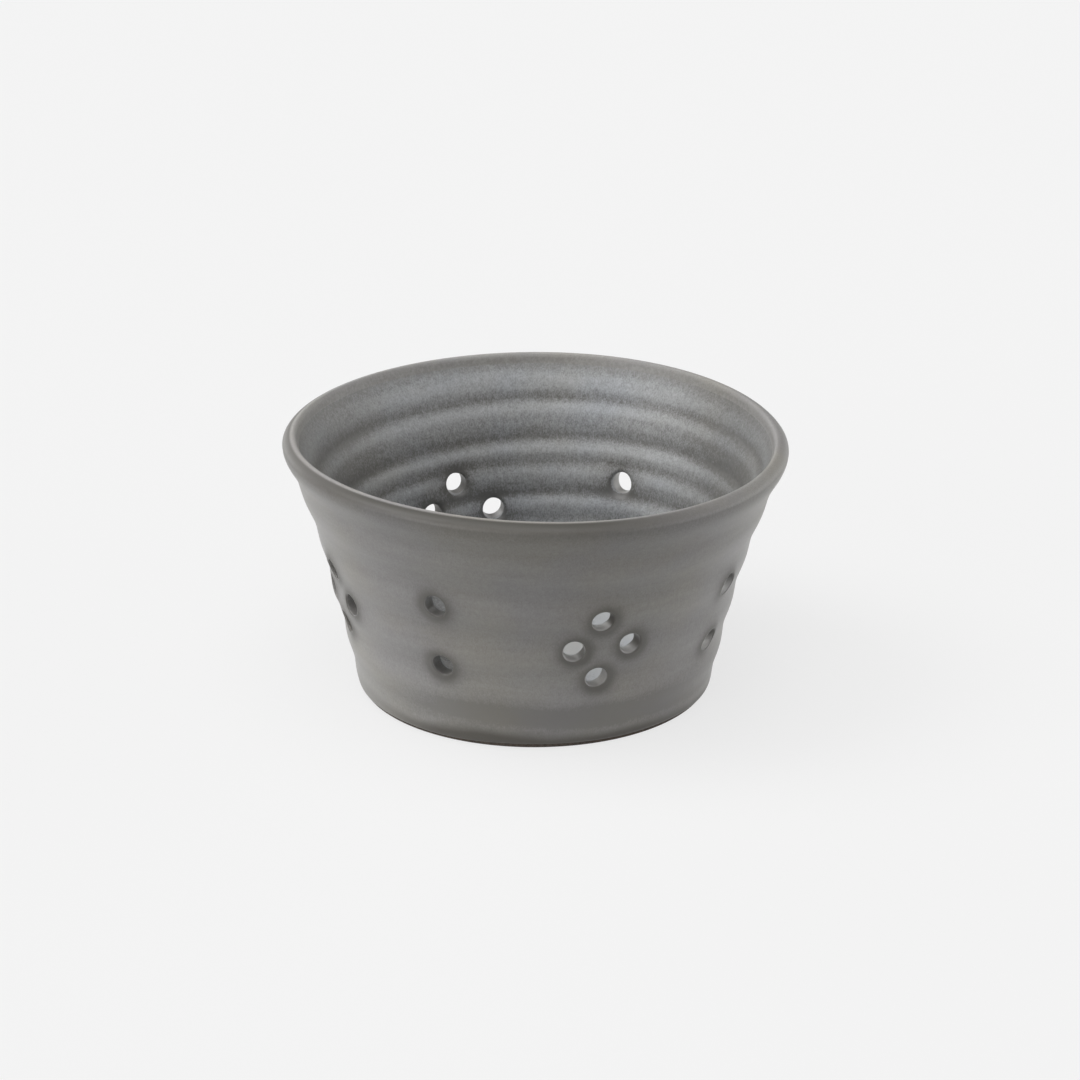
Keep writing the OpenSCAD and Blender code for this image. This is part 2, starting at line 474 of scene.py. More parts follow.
def wall_sheet(depth):
    """The grid from the hollow under the foot, up the outside, over the lip and down to the floor.
    Returns its points, the region of each band between two rows, the cells that stay, and for each wall
    the numbers of its first row and the rings of points round its holes."""
    theta = 2 * np.pi * np.arange(COLUMNS)[None] / COLUMNS
    clay_r = FOOT_R - GLAZE_T
    ring_in = clay_r - FOOT_RING_W

    # Hollow, slope and standing face of the foot, and its rounded outer edge
    slope_start, slope_end = ring_in - FOOT_RING_H, ring_in + FOOT_SLOPE_RUN
    slope_r = np.concatenate([
        np.linspace(UNDER_R, slope_start, HOLLOW_POINTS, endpoint=False),
        np.linspace(slope_start, slope_end, SLOPE_POINTS),
        np.linspace(slope_end, clay_r - FOOT_EDGE, EDGE_POINTS)[1:-1],
    ])
    slope_z = FOOT_RING_H * (1 - ease((slope_r - slope_start) / (slope_end - slope_start)))
    a = np.linspace(0, np.pi / 2, EDGE_POINTS)
    foot_r = np.concatenate([slope_r, clay_r - FOOT_EDGE * (1 - np.sin(a))])[:, None]
    foot_z = np.concatenate([slope_z, FOOT_EDGE * (1 - np.cos(a))])[:, None]
    foot = place(theta, foot_r, foot_z + 0 * theta)

    # The outside, whose coat thins to a rounded, slightly wavy edge above the foot
    top = LIP_Z - BARE_H
    count = int(top / STEP)
    roll = GLAZE_ROLL * np.array(ROLL_ROWS)
    up = np.concatenate([roll, np.linspace(GLAZE_ROLL, top, count)])[:, None]
    wave = sum(size * np.sin(times * theta + start) for size, times, start in EDGE_WAVES)
    outer_z = BARE_H + up + wave * (1 - ease(up / EDGE_WAVE_FADE))
    outer_theta = theta + 0 * outer_z
    outer_kept, outer_rings = pierce_wall(outer_theta, outer_z, plain_r(HOLE_Z))
    thin = 1 - np.sqrt(1 - np.clip(1 - up / GLAZE_ROLL, 0, 1) ** 2)
    outside = outer_point(outer_theta, outer_z, depth + (GLAZE_T - depth) * ROLL_THINNING * thin)

    # The lip
    t = np.linspace(0, 1, LIP_POINTS)
    section = np.concatenate([cubic(LIP_OUT, t[1:], depth), cubic(LIP_IN, t[1:-1], depth)])
    lip = place(theta, CREST_R + section[:, :1] + 0 * theta, LIP_Z + section[:, 1:] + 0 * theta)

    # The inside, the cove and the edge of the floor
    count = int((LIP_Z - COVE_END_Z) / STEP)
    inner_z = np.linspace(LIP_Z, COVE_END_Z, count)[:, None] + 0 * theta
    inner_theta = theta + 0 * inner_z
    inner_kept, inner_rings = pierce_wall(inner_theta, inner_z, bore_r(HOLE_Z))
    inside = inner_point(inner_theta, inner_z, depth)
    a = np.linspace(COVE_LEAN, np.pi / 2, COVE_POINTS)[1:][:, None]
    cove_r = COVE_CENTRE_R + (COVE_R + depth) * np.cos(a)
    cove = place(theta, cove_r, COVE_Z - (COVE_R + depth) * np.sin(a) + 0 * theta)
    edge_r = np.array(FLOOR_RINGS_R)[:, None]
    edge = floor_point(edge_r * np.sin(theta), -edge_r * np.cos(theta), depth)

    blocks = [foot, outside, lip, inside, cove, edge]
    starts = np.cumsum([0] + [len(b) for b in blocks])
    bands = np.arange(starts[-1] - 1)
    kept = np.ones((len(bands), COLUMNS), bool)
    kept[starts[1]:starts[2] - 1] = outer_kept
    kept[starts[3]:starts[4] - 1] = inner_kept
    region = np.where(bands < starts[1], BARE, np.where(bands < starts[3], OUTER, LINER))
    return np.concatenate(blocks), region, kept, (starts[1], outer_rings), (starts[3], inner_rings)


def join_hole(surface, start, end, around_start, around_end, regions):
    """Runs rings of points through a hole: one face's mouth, a straight bore with even rings and the
    other face's mouth. Joins them to the rings round the hole in both faces. The first region reaches
    through the bore."""
    share = np.linspace(0, 1, BORE_STEPS)[1:-1, None, None]
    bore = start[-1] * (1 - share) + end[-1] * share
    rings = surface.add_points(np.concatenate([start, bore, end[::-1]]))
    bands = round_grid(rings)
    surface.add_quads(bands, np.where(np.arange(len(bands)) < len(start) + len(bore), *regions)[:, None])
    surface.add_tris(zipper(*around_start, rings[0], RING_TURN), regions[0])
    surface.add_tris(zipper(rings[-1], RING_TURN, *around_end), regions[1])


def wall_drain(surface, around_out, around_in, index, depth):
    """One hole through the wall: soft mouths on both faces, joined by a straight lined bore."""
    turn, z, beta = TURN[index], HOLE_Z[index], RING_TURN[None]
    axis = np.array([math.sin(turn), -math.cos(turn), 0])
    ends = []
    for point, size, wall_r, way in (
        (outer_point, MOUTH_OUT_R, plain_r(z), -axis),
        (inner_point, MOUTH_IN_R, bore_r(z), axis),
    ):
        radii, sinks = mouth(size, depth)
        rho = radii[:, None] * (1 + HOLE_OVAL * np.cos(2 * beta + index))
        across, along = rho * np.cos(beta), rho * np.sin(beta)
        ends.append(point(turn + across / wall_r, z + along, depth) + sinks[:, None, None] * way)
    join_hole(surface, *ends, around_out, around_in, (OUTER, LINER))


def floor_drain(surface, around_top, around_under, x0, y0, depth):
    """One hole through the floor, lined with glaze down to its bare lower mouth."""
    beta = RING_TURN[None]
    radii, sinks = mouth(MOUTH_IN_R, depth)
    x, y = radii[:, None] * np.cos(beta) + x0, radii[:, None] * np.sin(beta) + y0
    top = floor_point(x, y, depth) - sinks[:, None, None] * np.array([0, 0, 1])
    bare_sinks = MOUTH_IN_R * sinks / (MOUTH_IN_R - depth)
    under = under_point(x, y) + bare_sinks[:, None, None] * np.array([0, 0, 1])
    join_hole(surface, top, under, around_top, around_under, (LINER, BARE))


def disc(surface, point, radius, flipped, region):
    """A round sheet of square cells within radius, without the cells round each floor hole. The points
    on its edge and round the holes are drawn onto circles. Returns those rings, the edge's first."""
    half = int(radius / STEP) + 2
    steps = STEP * np.arange(-half, half + 1)
    x, y = np.meshgrid(steps, steps)
    mid_x, mid_y = x[:-1] + STEP / 2, y[:-1] + STEP / 2
    kept = np.hypot(mid_x, mid_y) < radius
    rows, columns, turn = ring_round(kept, -y, x)
    edge_r = radius + STEP / 2
    x[rows, columns], y[rows, columns] = edge_r * np.sin(turn), -edge_r * np.cos(turn)
    rings = [(rows, columns, turn)]
    for x0, y0 in FLOOR_HOLE_PLACES:
        patch = np.hypot(mid_x - x0, mid_y - y0) < CUT_R
        kept &= ~patch
        rows, columns, turn = ring_round(patch, x - x0, y - y0)
        x[rows, columns], y[rows, columns] = x0 + RING_R * np.cos(turn), y0 + RING_R * np.sin(turn)
        rings.append((rows, columns, turn))
    numbers = surface.add_points(point(x, y))
    quads = round_grid(numbers)[kept]
    surface.add_quads(quads[:, ::-1] if flipped else quads, region)
    return [(numbers[rows, columns], turn) for rows, columns, turn in rings]


def bowl_surface(depth):
    """The whole closed surface of the bowl, with every glazed face sunk by depth."""
    surface = Surface()
    points, region, kept, outer, inner = wall_sheet(depth)
    numbers = surface.add_points(points)
    quads = round_grid(numbers)
    surface.add_quads(quads[kept], np.broadcast_to(region[:, None], kept.shape)[kept])
    for i, rings in enumerate(zip(outer[1], inner[1])):
        ends = [(numbers[first + r, c], t) for first, (r, c, t) in zip((outer[0], inner[0]), rings)]
        wall_drain(surface, *ends, i, depth)
    top_edge, *top_rings = disc(
        surface, lambda x, y: floor_point(x, y, depth), FLOOR_RINGS_R[-1] - DISC_GAP, False, LINER
    )
    under_edge, *under_rings = disc(surface, under_point, UNDER_R - DISC_GAP, True, BARE)
    for place_xy, ring_top, ring_under in zip(FLOOR_HOLE_PLACES, top_rings, under_rings):
        floor_drain(surface, ring_top, ring_under, *place_xy, depth)
    ring_turn = turn_from(2 * np.pi * np.arange(COLUMNS) / COLUMNS, 0)
    order = np.argsort(ring_turn)
    surface.add_tris(zipper(numbers[-1][order], ring_turn[order], *top_edge), LINER)
    surface.add_tris(zipper(*under_edge, numbers[0][order], ring_turn[order]), BARE)
    return surface.arrays()


def point_normals(points, quads, tris):
    """Normal of each point: the sum of its faces' normals, which a larger face adds more to."""
    total = np.zeros_like(points)
    for faces in (quads, tris):
        a, b, c, d = (points[faces[:, i]] for i in (0, 1, 2, faces.shape[1] - 1))
        normal = np.cross(c - a, d - b) if faces.shape[1] == 4 else np.cross(b - a, c - a)
        for corner in faces.T:
            for axis in range(3):
                total[:, axis] += np.bincount(corner, normal[:, axis], len(points))
    return total / np.maximum(np.linalg.norm(total, axis=1, keepdims=True), 1e-12)


def open_edges(quads, tris):
    """Edges that only one face has, each in that face's direction."""
    pairs = [np.stack([f, np.roll(f, -1, axis=1)], -1).reshape(-1, 2) for f in (quads, tris)]
    edges = np.concatenate(pairs)
    most = edges.max() + 1
    there = edges[:, 0] * most + edges[:, 1]
    back = edges[:, 1] * most + edges[:, 0]
    return edges[~np.isin(there, back)]


def marks(points):
    """What the glaze reads at each point: crest, from -1 in a groove to 1 on a ridge; mouth, which is 1
    at a drain hole's edge and fades away round it, and outside is moved below the hole and away from the
    front to carry painted shade; lining, which is 1 inside a hole, where painted light goes; rise, the
    height in millimetres with the tilt of the lip taken out; and edge, the distance from the lip's crest,
    below 0 on the inside."""
    theta = np.arctan2(points[:, 0], -points[:, 1])
    up = np.clip(points[:, 2] / BOWL_H, 0, 1)
    z = points[:, 2] - lip_rise(theta) * up**RISE_POWER
    r = np.hypot(points[:, 0], points[:, 1])
    outside = r > plain_r(z) - wall_t(z) / 2
    crest = np.where(outside, outer_ridges(theta, z) / (OUTER_DEPTH / 2), creases(theta, z)[1])
    near, dark = np.full((2, len(points)), RIM_R)
    for turn, height in zip(TURN, HOLE_Z):
        across, along = turn_from(theta, turn) * r, z - height
        # Outside, the dark ring is moved below each hole and away from the front as painted shade.
        aside = outside * SHADE_ASIDE * np.sign(turn_from(turn, 0))
        near = np.minimum(near, np.hypot(across, along))
        dark = np.minimum(dark, np.hypot(across - aside, along + outside * SHADE_DOWN))
    on_floor = (z < FLOOR_Z + FLOOR_REACH) & (r < COVE_CENTRE_R)
    for x0, y0 in FLOOR_HOLE_PLACES:
        far = np.hypot(points[:, 0] - x0, points[:, 1] - y0)
        near, dark = (np.where(on_floor, np.minimum(value, far), value) for value in (near, dark))
    from_crest = r / oval(theta, up) - CREST_R
    side = np.where(z < LIP_Z, np.where(outside, 1, -1), np.sign(from_crest))
    return {
        "crest": crest * ~on_floor,
        "mouth": np.exp(-np.maximum(dark - HOLE_R - MOUTH_OUT_R, 0) / HALO_REACH),
        "lining": ease((HOLE_R + LINING_EDGE - near) / LINING_RUN),
        "rise": z,
        "edge": side * np.hypot(from_crest, z - CREST_Z),
    }


def make_piece(name, node, points, quads, tris, normals=None):
    """Makes a closed piece of the bowl from its points and faces, in place of a CAD node."""
    used = np.unique(np.concatenate([quads.ravel(), tris.ravel()]))
    renumber = np.zeros(used.max() + 1, int)
    renumber[used] = np.arange(len(used))
    quads, tris, points = renumber[quads], renumber[tris], points[used]
    corners = np.concatenate([quads.ravel(), tris.ravel()])
    sizes = np.concatenate([np.full(len(quads), 4), np.full(len(tris), 3)])
    mesh = bpy.data.meshes.new(name)
    mesh.vertices.add(len(points))
    mesh.vertices.foreach_set("co", (points * MM).ravel())
    mesh.loops.add(len(corners))
    mesh.loops.foreach_set("vertex_index", corners)
    mesh.polygons.add(len(sizes))
    mesh.polygons.foreach_set("loop_start", np.cumsum(sizes) - sizes)
    for key, values in marks(points).items():
        mesh.attributes.new(key, "FLOAT", "POINT").data.foreach_set("value", values)
    mesh.update(calc_edges=True)
    mesh.validate()
    mesh.shade_smooth()
    if normals is not None:
        mesh.normals_split_custom_set(normals[used][corners])
    piece = bpy.data.objects.new(name, mesh)
    bpy.context.collection.objects.link(piece)
    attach(piece, "root")
    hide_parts(node)
    return piece


def make_clay():
    """The fired clay under the glaze, which is bare only at the foot."""
    points, quads, tris, _, _ = bowl_surface(GLAZE_T)
    return make_piece("thrown_clay", "stoneware_body", points, quads, tris)


def make_coat(name, node, region):
    """A coat of glaze: the finished faces of one region, the clay's faces under them turned over, and
    a narrow band that joins the two round every edge."""
    top, quads, tris, quad_regions, tri_regions = bowl_surface(0)
    under = bowl_surface(GLAZE_T)[0]
    normals = point_normals(top, quads, tris)
    quads, tris = quads[quad_regions == region], tris[tri_regions == region]
    edges = open_edges(quads, tris)
    sides = np.stack([edges[:, 1], edges[:, 0], edges[:, 0] + len(top), edges[:, 1] + len(top)], -1)
    return make_piece(
        name,
        node,
        np.concatenate([top, under]),
        np.concatenate([quads, quads[:, ::-1] + len(top), sides]),
        np.concatenate([tris, tris[:, ::-1] + len(top)]),
        np.concatenate([normals, -point_normals(under, quads, tris)]),
    )


# Camera, at the height and distance that the photographed view was taken from
CAMERA_FAR = 1.2173
CAMERA_TILT = math.radians(22.32)
CAMERA_AIM = 0.035
SENSOR = 36.0
FRAME_PIXELS = 1080
FOCAL_PIXELS = 4331.6
AIM_PIXEL = (534.5, 561.7)


def make_camera():
    """A long lens that looks down at the middle of the bowl, shifted so that the bowl sits where the
    photograph has it."""
    data = bpy.data.cameras.new("camera")
    data.sensor_width = SENSOR
    data.lens = SENSOR * FOCAL_PIXELS / FRAME_PIXELS
    data.shift_x = (FRAME_PIXELS / 2 - AIM_PIXEL[0]) / FRAME_PIXELS
    data.shift_y = (AIM_PIXEL[1] - FRAME_PIXELS / 2) / FRAME_PIXELS
    camera = bpy.data.objects.new("camera", data)
    camera.location = (
        0,
        -CAMERA_FAR * math.cos(CAMERA_TILT),
        CAMERA_AIM + CAMERA_FAR * math.sin(CAMERA_TILT),
    )
    camera.rotation_euler = (math.pi / 2 - CAMERA_TILT, 0, 0)
    bpy.context.collection.objects.link(camera)
    bpy.context.scene.camera = camera


class Tree:
    """Short ways to add nodes to a tree and to join them."""

    def __init__(self, tree):
        self.tree = tree

    def add(self, kind, inputs=None, **settings):
        """Adds a node. An input is a number, a colour or another node's output."""
        node = self.tree.nodes.new(kind)
        for name, value in settings.items():
            setattr(node, name, value)
        return self.join(node, inputs or {})

    def join(self, node, inputs):
        for key, value in inputs.items():
            if isinstance(value, bpy.types.NodeSocket):
                self.tree.links.new(value, node.inputs[key])
            else:
                node.inputs[key].default_value = value
        return node

    def math(self, operation, a, b=0.0, c=0.0):
        return self.add("ShaderNodeMath", {0: a, 1: b, 2: c}, operation=operation).outputs[0]

    def ramp(self, value, low, high, to_low=0.0, to_high=1.0):
        """Carries value smoothly from low..high to to_low..to_high."""
        inputs = {"Value": value, "From Min": low, "From Max": high, "To Min": to_low, "To Max": to_high}
        return self.add("ShaderNodeMapRange", inputs, interpolation_type="SMOOTHSTEP").outputs[0]

    def noise(self, vector, scale, detail=2.0, roughness=0.5):
        inputs = {"Vector": vector, "Scale": scale, "Detail": detail, "Roughness": roughness}
        return self.add("ShaderNodeTexNoise", inputs).outputs["Fac"]

    def stretched(self, vector, scale, offset=(0, 0, 0)):
        inputs = {"Vector": vector, "Scale": scale, "Location": offset}
        return self.add("ShaderNodeMapping", inputs).outputs[0]

    def mix(self, factor, a, b, blend="MIX"):
        node = self.add("ShaderNodeMix", data_type="RGBA", blend_type=blend)
        return self.join(node, {0: factor, 6: a, 7: b}).outputs[2]

    def ring(self, value, middle, half_width, strength):
        """A soft bump of the given strength where value is within half_width of middle."""
        far = self.math("ABSOLUTE", self.math("SUBTRACT", value, middle))
        return self.ramp(far, 0.0, half_width, strength, 0.0)

    def attribute(self, name):
        return self.add("ShaderNodeAttribute", attribute_name=name).outputs["Fac"]

    def place_on(self):
        """The place on the piece, in metres."""
        return self.add("ShaderNodeTexCoord").outputs["Object"]

    def axis(self, vector, name):
        return self.add("ShaderNodeSeparateXYZ", {0: vector}).outputs[name]

    def times(self, a, b):
        return self.math("MULTIPLY", a, b)

    def drift(self, value, amount, start):
        """start, moved by amount times how far value lies from its mean of one half."""
        return self.math("MULTIPLY_ADD", self.math("SUBTRACT", value, 0.5), amount, start)


def colour(r, g, b):
    return (r, g, b, 1.0)


# Colours of the glazes, dark and pale, for where they run thin and thick and for painted shade and light,
# of the browns that show through them, which also carry painted shade round the lip, the holes and the
# foot, of the painted light inside the holes, and of the clay
THIN_AND_SHADED_GREY, THICK_AND_LIT_GREY = colour(0.219, 0.212, 0.197), colour(0.412, 0.402, 0.384)
THIN_AND_SHADED_BLUE, THICK_AND_LIT_BLUE = colour(0.15, 0.146, 0.138), colour(0.48, 0.488, 0.494)
DARK_SPECK, PALE_SPECK = colour(0.2, 0.193, 0.18), colour(0.31, 0.305, 0.29)
LIP_BROWN_AND_SHADE = colour(0.082, 0.077, 0.067)
MOUTH_BROWN_AND_SHADE = colour(0.11, 0.104, 0.092)
FOOT_BROWN_AND_SHADE = colour(0.085, 0.078, 0.066)
LINING_PAINTED_LIGHT = colour(0.58, 0.575, 0.56)
DARK_CLAY, LIGHT_CLAY, RED_CLAY = colour(0.06, 0.05, 0.042), colour(0.12, 0.1, 0.085), colour(0.1, 0.075, 0.058)
GROG = colour(0.21, 0.18, 0.15)
# Fineness of the sand that speckles the clay and the thin glaze
SAND_SCALE = 900.0


def make_glaze_group():
    """Colour, roughness and height of a satin stoneware glaze. The glaze is pale on the ridges and dark in
    the grooves, partly as pooling and partly as painted light and shade. Bands and streaks follow the wheel,
    clouds of two tints drift over it, and a fine sandy mottle lies over all of it. Shift moves the tone where
    a coat runs thin or thick and where a material paints light and shade. Mouth darkens round the holes,
    partly as painted shade, and Lining paints light inside them."""
    group = bpy.data.node_groups.new("satin_glaze", "ShaderNodeTree")
    colours = ("Dark", "Pale", "Cool Tint", "Warm Tint")
    amounts = ("Tone", "Shift", "Crest", "Band", "Streak", "Mottle", "Grain", "Mouth", "Lining", "Cloud")
    for name in colours:
        group.interface.new_socket(name, in_out="INPUT", socket_type="NodeSocketColor")
    for name in amounts:
        group.interface.new_socket(name, in_out="INPUT", socket_type="NodeSocketFloat")
    group.interface.new_socket("Color", in_out="OUTPUT", socket_type="NodeSocketColor")
    for name in ("Sheen", "Height"):
        group.interface.new_socket(name, in_out="OUTPUT", socket_type="NodeSocketFloat")
    t = Tree(group)
    given = t.add("NodeGroupInput").outputs
    place_on = t.place_on()

    cloud_cool = t.ramp(t.noise(place_on, 34.0, 3.0), 0.4, 0.64)
    cloud_warm = t.ramp(t.noise(t.stretched(place_on, (1, 1, 1.6), (0.31, 0.17, 0.53)), 42.0, 3.0), 0.42, 0.66)
    bands = t.noise(t.stretched(place_on, (11, 11, 230)), 1.0, 3.0, 0.6)
    broad = t.noise(t.stretched(place_on, (9, 9, 60), (0.7, 0.2, 0.1)), 1.0, 2.0)
    streaks = t.noise(t.stretched(place_on, (60, 60, 420), (0.2, 0.6, 0.4)), 1.0, 3.0, 0.6)
    mottle = t.noise(t.stretched(place_on, (1, 1, 0.6)), 800.0, 4.0, 0.7)
    grain = t.noise(t.stretched(place_on, (1, 1, 0.6)), 2600.0, 2.0, 0.6)

    tone = t.math("ADD", given["Tone"], given["Shift"])
    drifts = ((bands, "Band"), (broad, "Band"), (streaks, "Streak"), (mottle, "Mottle"), (grain, "Grain"))
    for value, amount in drifts:
        tone = t.drift(value, given[amount], tone)
    # crest and mouth move the tone partly as painted light and shade, lining wholly as painted light.
    for name in ("crest", "mouth", "lining"):
        tone = t.math("MULTIPLY_ADD", t.attribute(name), given[name.title()], tone)
    shade = t.mix(tone, given["Dark"], given["Pale"])
    shade = t.mix(t.times(cloud_cool, given["Cloud"]), shade, given["Cool Tint"], "MULTIPLY")
    shade = t.mix(t.times(cloud_warm, given["Cloud"]), shade, given["Warm Tint"], "MULTIPLY")

    sheen = t.drift(mottle, 0.25, 0.0)
    height = t.math("MULTIPLY_ADD", bands, 0.5, t.times(mottle, 0.35))
    height = t.math("MULTIPLY_ADD", grain, 0.12, height)
    t.add("NodeGroupOutput", {"Color": shade, "Sheen": sheen, "Height": height})
    return group


# In the materials rise and edge are in millimetres, and across is in metres and below 0 at the left.
def start_material(name):
    """An empty material with its output node."""
    material = bpy.data.materials.new(name)
    material.use_nodes = True
    material.node_tree.nodes.clear()
    return material, Tree(material.node_tree)


def finish_material(t, base, roughness, normal, **constants):
    """Joins colour, roughness and normal to the shader, and sets what is the same all over."""
    inputs = {"Base Color": base, "Roughness": roughness, "Normal": normal}
    inputs.update(constants)
    shader = t.add("ShaderNodeBsdfPrincipled", inputs)
    t.add("ShaderNodeOutputMaterial", {"Surface": shader.outputs[0]})


def glaze_looks(t, group, **values):
    """Places the shared glaze group in a material with its own values."""
    inputs = {key.replace("_", " "): value for key, value in values.items()}
    node = t.add("ShaderNodeGroup", node_tree=group)
    return t.join(node, inputs).outputs


def bumped(t, height, distance):
    return t.add("ShaderNodeBump", {"Height": height, "Distance": distance, "Strength": 1.0}).outputs[0]


def speckled_brown(t, place_on):
    """The brown that shows through where either glaze runs thin over the lip. The liner also lays it at its
    sides as painted shade.
    """
    speckle = t.noise(place_on, SAND_SCALE, 3.0, 0.7)
    return t.mix(t.ramp(speckle, 0.35, 0.65), DARK_SPECK, PALE_SPECK)


def make_outer_material(group):
    """Warm grey satin-matt glaze with faint throwing bands and soft violet and olive clouds. A painted
    highlight lies on the lip's crest and painted light inside the holes, and it is dark in a ring low on
    the wall, partly as painted shade. Dark brown shows in a line just outside the crest, round the holes
    and at the foot where the glaze runs thin, with painted shade under the lip, below and aside of the
    holes and low on the wall, and speckled brown just inside the crest. The line and the painted highlight
    fade towards the right, the low ring and the foot's brown towards the left, where the light falls."""
    material, t = start_material("warm_grey_glaze")
    rise, edge = t.attribute("rise"), t.attribute("edge")
    place_on = t.place_on()
    across = t.axis(place_on, "X")
    waver = t.noise(t.stretched(place_on, (22, 22, 60)), 1.0, 2.0)
    ragged = t.drift(waver, 9.0, rise)
    # A dark ring low on the wall, weaker at the left where the light falls: partly painted shade.
    low = t.times(t.ring(ragged, 10.5, 8.5, -0.65), t.ramp(across, -0.05, -0.01, 0.25, 1.1))
    # A painted highlight on the lip's crest, fading out towards the right.
    crest = t.times(t.ring(edge, 0.0, 1.0, 0.35), t.ramp(across, 0.01, 0.06, 1.0, 0.0))
    # The ring round edge 5 darkens the wall just under the lip as painted shade.
    shift = t.math("ADD", t.math("ADD", low, t.ring(edge, 5.0, 4.5, -0.2)), crest)
    # Lining paints light into the holes, more towards the right, where the light from the left reaches them.
    looks = glaze_looks(
        t, group, Dark=THIN_AND_SHADED_GREY, Pale=THICK_AND_LIT_GREY,
        Cool_Tint=colour(0.965, 0.965, 1.005), Warm_Tint=colour(1.0, 0.985, 0.95), Tone=0.5, Shift=shift,
        Crest=0.06, Band=0.4, Streak=0.3, Mottle=0.5, Grain=0.7, Mouth=-0.6,
        Lining=t.ramp(across, -0.03, 0.0, 0.3, 1.1), Cloud=1.0,
    )
    base = t.mix(t.ramp(edge, -0.9, -1.8, 0.0, 0.5), looks["Color"], speckled_brown(t, place_on))
    # Brown just outside the crest where the glaze runs thin, with painted shade under the lip; weaker to the
    # right, where the light falls on it.
    belly_brown_and_shade = t.times(t.ramp(edge, 0.3, 1.1), t.ramp(edge, 1.6, 6.0, 1.0, 0.0))
    belly_brown_and_shade = t.times(belly_brown_and_shade, t.ramp(across, 0.01, 0.065, 1.0, 0.1))
    belly_brown_and_shade = t.times(belly_brown_and_shade, t.ramp(across, -0.066, -0.04, 0.75, 1.0))
    base = t.mix(belly_brown_and_shade, base, LIP_BROWN_AND_SHADE)
    # Brown round the holes where the glaze runs thin, and painted shade below them and on their side away from
    # the front.
    lining, mouth = t.attribute("lining"), t.attribute("mouth")
    halo_brown_and_shade = t.times(t.ramp(mouth, 0.15, 1.0, 0.0, 0.75), t.math("SUBTRACT", 1.0, lining))
    base = t.mix(halo_brown_and_shade, base, MOUTH_BROWN_AND_SHADE)
    # Brown where the glaze runs thin over the foot, with painted shade low on the wall; weaker at the left,
    # where the light falls.
    foot = t.times(t.ramp(ragged, 2.2, 6.4, 0.95, 0.0), t.ramp(across, -0.045, -0.025, 0.4, 1.0))
    base = t.mix(foot, base, FOOT_BROWN_AND_SHADE)
    # Painted light inside the holes, on the right only.
    base = t.mix(t.times(lining, t.ramp(across, -0.02, 0.005, 0.0, 0.45)), base, LINING_PAINTED_LIGHT)
    roughness = t.math("ADD", looks["Sheen"], t.math("ADD", t.ring(edge, 0.5, 3.0, 0.28), 0.36))
    normal = bumped(t, looks["Height"], 0.00005)
    finish_material(t, base, roughness, normal, **{"Specular IOR Level": 0.45})
    return material


def make_liner_material(group):
    """Blue-grey satin glaze, pale over the right of the floor as pooling and painted light, darker over its
    left as painted shadow of the left wall, and pale in a band high up the wall. It is dark and brownish at
    the sides as painted shade, and in a ragged band of speckle below the lip where it thins."""
    material, t = start_material("blue_grey_glaze")
    place_on = t.place_on()
    rise = t.attribute("rise")
    across = t.axis(place_on, "X")
    # Painted shade on the inside walls at the left and right.
    sides = t.ramp(t.math("ABSOLUTE", across), 0.036, 0.062)
    shore = t.drift(t.noise(place_on, 45.0, 3.0), 0.06, across)
    # Pale over the right of the floor as pooling and painted light, darker over its left as painted shadow of
    # the left wall.
    pool_light_and_shade = t.times(t.ramp(rise, 8.5, 20.0, 0.75, 0.0), t.ramp(shore, -0.033, 0.006, -0.3, 1.0))
    pool_light_and_shade = t.math("ADD", pool_light_and_shade, t.ring(rise, 66.0, 5.0, 0.35))
    pool_light_and_shade = t.math("MULTIPLY_ADD", sides, -0.45, pool_light_and_shade)
    # Lining paints light into the holes; Crest and Mouth partly paint light and shade.
    looks = glaze_looks(
        t, group, Dark=THIN_AND_SHADED_BLUE, Pale=THICK_AND_LIT_BLUE,
        Cool_Tint=colour(0.95, 0.975, 1.02), Warm_Tint=colour(1.0, 0.985, 0.95), Tone=0.5, Shift=pool_light_and_shade,
        Crest=0.36, Band=0.35, Streak=0.3, Mottle=0.9, Grain=1.2, Mouth=-0.5, Lining=0.9, Cloud=0.8,
    )
    waver = t.noise(t.stretched(place_on, (1, 1, 0.5)), 260.0, 3.0, 0.7)
    ragged = t.drift(waver, 6.0, t.attribute("edge"))
    # Brown speckle below the lip where the glaze thins, and painted shade at the sides.
    thin = t.math("MAXIMUM", t.ramp(ragged, -6.0, -3.4, 0.0, 0.5), t.times(sides, 0.4))
    base = t.mix(thin, looks["Color"], speckled_brown(t, place_on))
    roughness = t.math("ADD", looks["Sheen"], 0.44)
    normal = bumped(t, looks["Height"], 0.00007)
    finish_material(t, base, roughness, normal, **{"Specular IOR Level": 0.5})
    return material


def make_clay_material():
    """Dark brown fired clay, dry and open, with paler and darker grains of grog."""
    material, t = start_material("bare_dark_clay")
    place_on = t.place_on()
    sand = t.noise(place_on, SAND_SCALE, 4.0, 0.7)
    cloud = t.noise(place_on, 60.0, 2.0)
    grog = t.add("ShaderNodeTexVoronoi", {"Vector": place_on, "Scale": 520.0}).outputs["Distance"]
    base = t.mix(t.ramp(sand, 0.35, 0.65), DARK_CLAY, LIGHT_CLAY)
    base = t.mix(t.ramp(cloud, 0.4, 0.7, 0, 0.5), base, RED_CLAY)
    base = t.mix(t.ramp(grog, 0.16, 0.1, 0, 0.45), base, GROG)
    height = t.math("MULTIPLY_ADD", t.ramp(grog, 0.2, 0.1), 0.4, sand)
    roughness = t.ramp(sand, 0.3, 0.7, 0.8, 0.92)
    finish_material(t, base, roughness, bumped(t, height, 0.00012), **{"Specular IOR Level": 0.35})
    return material


# The studio: the floor's half width and how far it lies under the foot, in metres, how bright it looks,
# and how much of it dims in the bowl's shadow
FLOOR_HALF = 8.0
FLOOR_DROP = 0.0001
FLOOR_GLOW = 0.735
FLOOR_SHADED = 0.17


